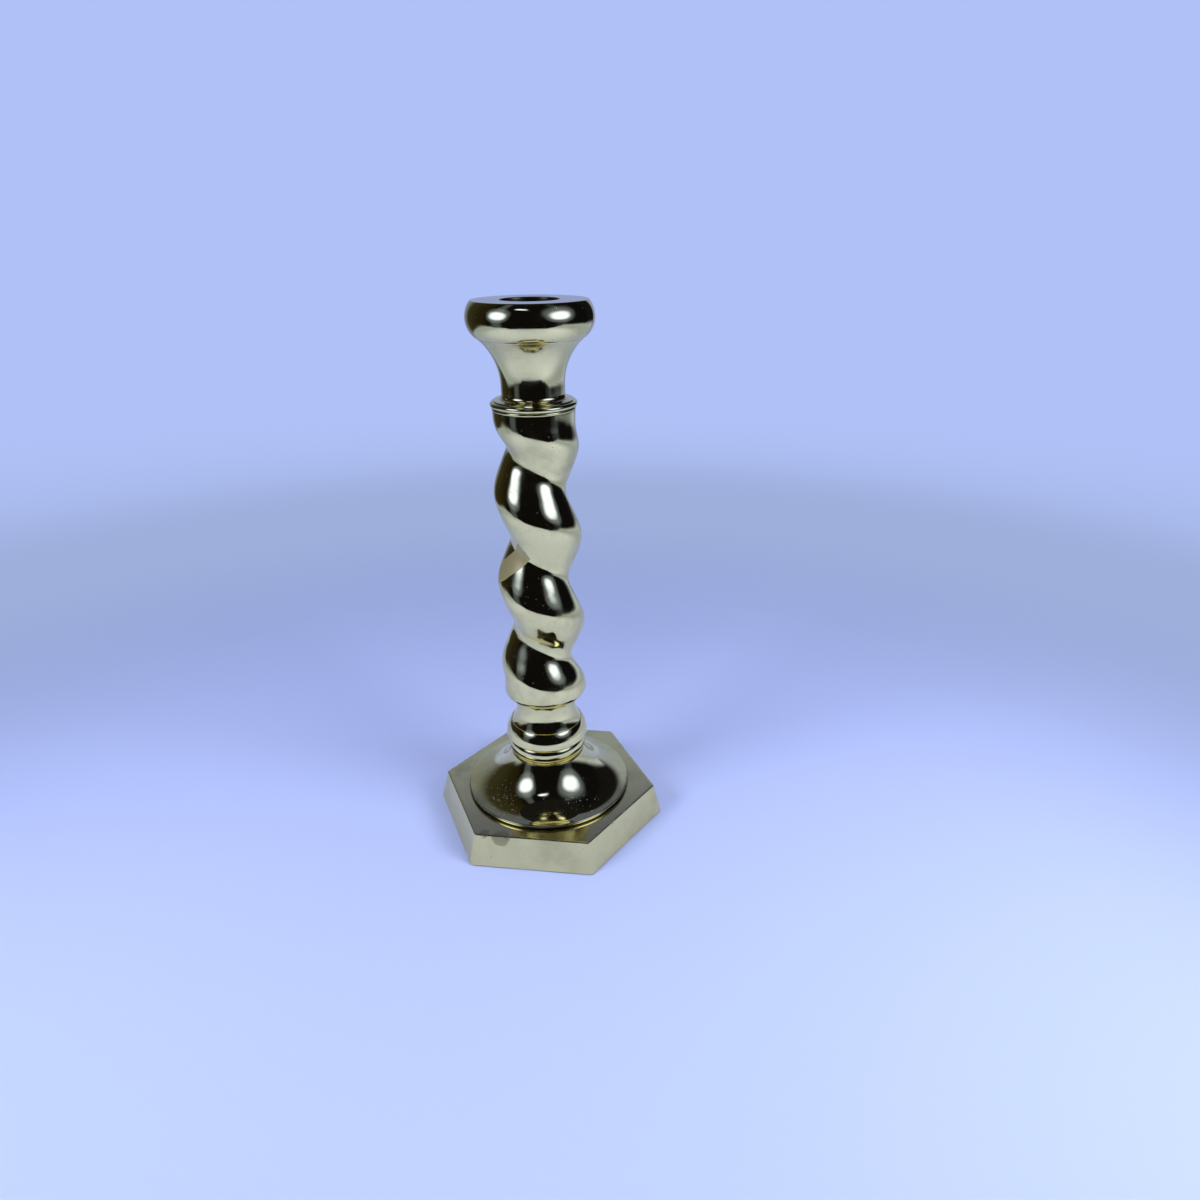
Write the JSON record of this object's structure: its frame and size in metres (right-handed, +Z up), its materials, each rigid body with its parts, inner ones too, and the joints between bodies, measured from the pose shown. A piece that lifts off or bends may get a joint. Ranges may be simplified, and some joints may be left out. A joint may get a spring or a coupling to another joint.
{
  "type": "spiral candle holder",
  "caption": "Brass stick candle holder with a barley-twist column on a bell foot and a hexagonal plinth, topped by a flared cup with a bored socket.",
  "frame": {"origin": "centre of the plinth's resting face, at table height", "axes": "+Z up along the column and out of the candle socket, +X through a corner of the hexagonal plinth"},
  "size_m": [0.1062, 0.0924, 0.228],
  "materials": {
    "polished_brass": "polished, lightly worn and tarnished in the recesses",
    "zinc_plated_steel": "bright zinc plate"
  },
  "bodies": {
    "root": {"hex_plinth": "polished_brass", "bell_foot": "polished_brass", "foot_collar": "polished_brass", "knop": "polished_brass", "twist_column": "polished_brass", "collar_ring": "polished_brass", "candle_cup": "polished_brass", "cup_rim": "polished_brass", "tie_rod": "zinc_plated_steel", "rod_washer": "zinc_plated_steel", "spring_washer": "zinc_plated_steel", "rod_nut": "zinc_plated_steel"}
  },
  "joints": []
}
